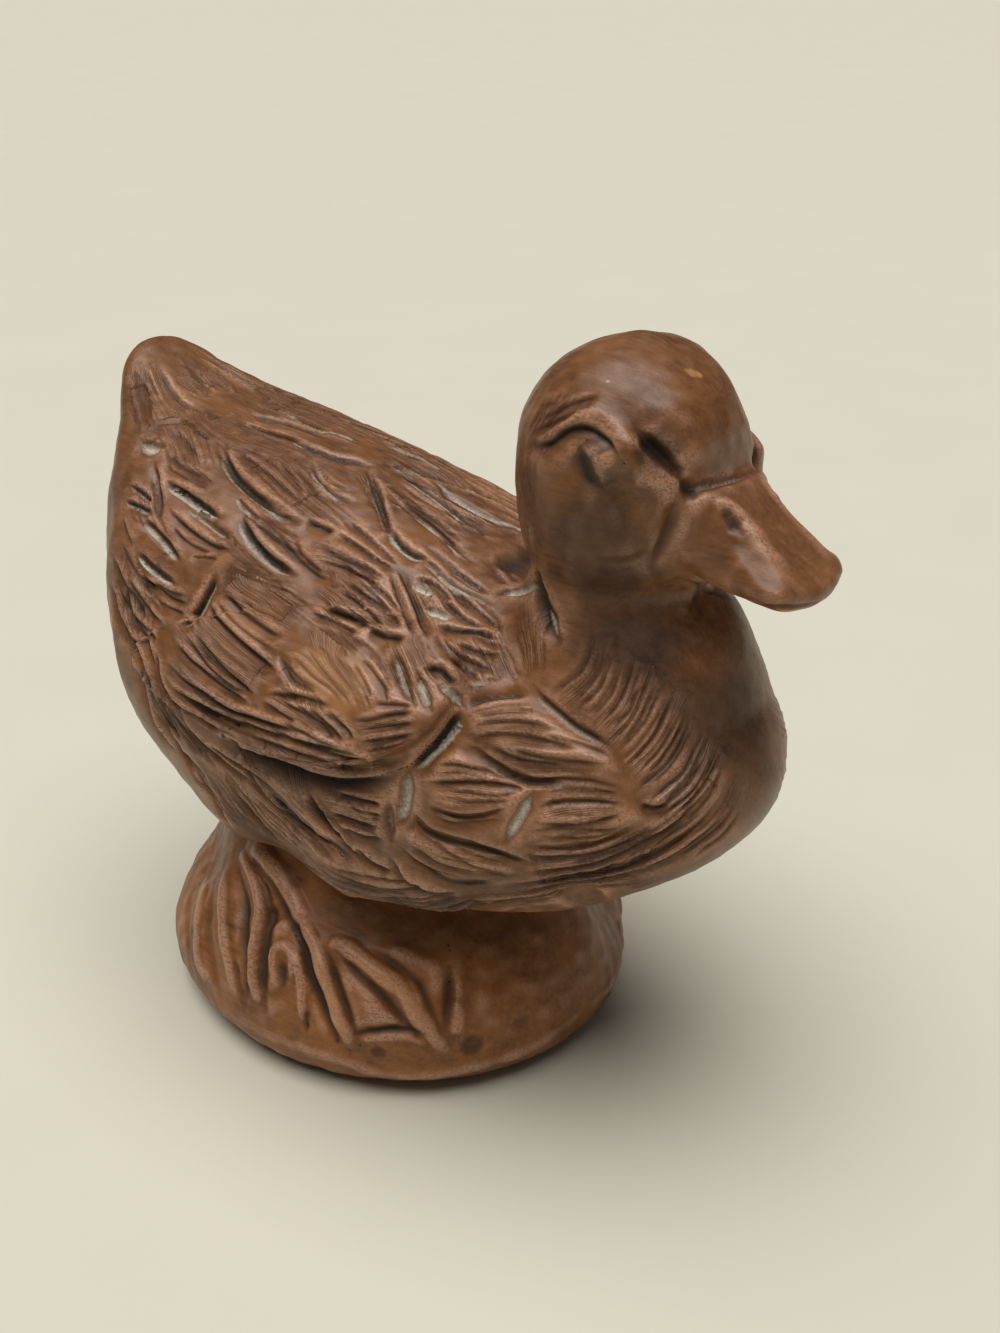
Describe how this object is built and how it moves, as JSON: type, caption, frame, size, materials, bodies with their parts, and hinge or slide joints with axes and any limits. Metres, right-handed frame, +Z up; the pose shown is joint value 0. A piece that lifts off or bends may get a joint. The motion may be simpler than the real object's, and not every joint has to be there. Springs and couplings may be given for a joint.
{
  "type": "carved duck figure",
  "caption": "Carved and stained wooden duck standing on a rounded rock-like base, with folded wings, webbed feet, let-in eyes, a separate head and bill, and a felt pad underneath.",
  "frame": {"origin": "middle of the felt pad's underside, where the figure stands", "axes": "+Z up, +X the way the bill points, +Y the duck's left"},
  "size_m": [0.1344, 0.0788, 0.1229],
  "materials": {
    "stained_wood": "reddish-brown stain, satin, dark in the carved lines and worn on the ridges",
    "bill_wood": "orange-brown stain, smooth satin",
    "eye_wood": "dark brown stain, polished",
    "dowel_wood": "bare",
    "felt": "dark felt"
  },
  "bodies": {
    "root": {"base": "stained_wood", "felt_pad": "felt", "body": "stained_wood", "wing_left": "stained_wood", "wing_right": "stained_wood", "foot_left": "stained_wood", "foot_right": "stained_wood", "head": "stained_wood", "bill": "bill_wood", "eye_left": "eye_wood", "eye_right": "eye_wood", "neck_dowel": "dowel_wood", "bill_dowel": "dowel_wood", "leg_dowel_left": "dowel_wood", "leg_dowel_right": "dowel_wood"}
  },
  "joints": []
}
